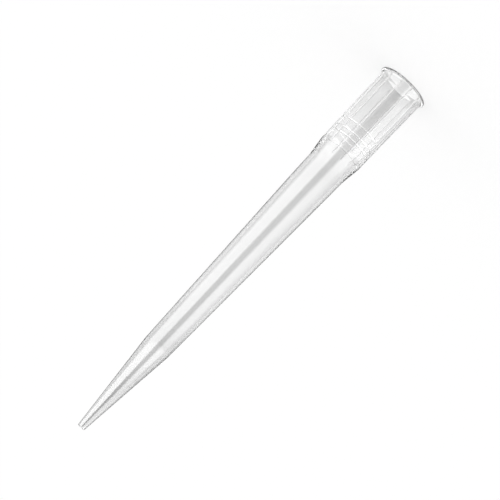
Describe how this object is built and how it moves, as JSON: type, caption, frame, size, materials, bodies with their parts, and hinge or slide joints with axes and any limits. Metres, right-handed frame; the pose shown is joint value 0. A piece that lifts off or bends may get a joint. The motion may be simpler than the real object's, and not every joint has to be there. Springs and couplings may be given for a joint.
{
  "type": "pipette tip",
  "caption": "Clear conical pipette tip with a flared rim, ribbed collar, beaded nozzle socket, tapered body and fine nose.",
  "frame": {"origin": "centre of the wide rim's flat end face, on which the tip stands", "axes": "+Z along the tip's axis from the rim to the nose; the part looks the same about it at every 30 degrees, and +X points midway between two ribs of the collar"},
  "size_m": [0.0088, 0.0088, 0.075],
  "materials": {
    "polypropylene": "clear moulded polypropylene, glossy with a slight haze"
  },
  "bodies": {
    "root": {"pipette_tip": "polypropylene"}
  },
  "joints": []
}
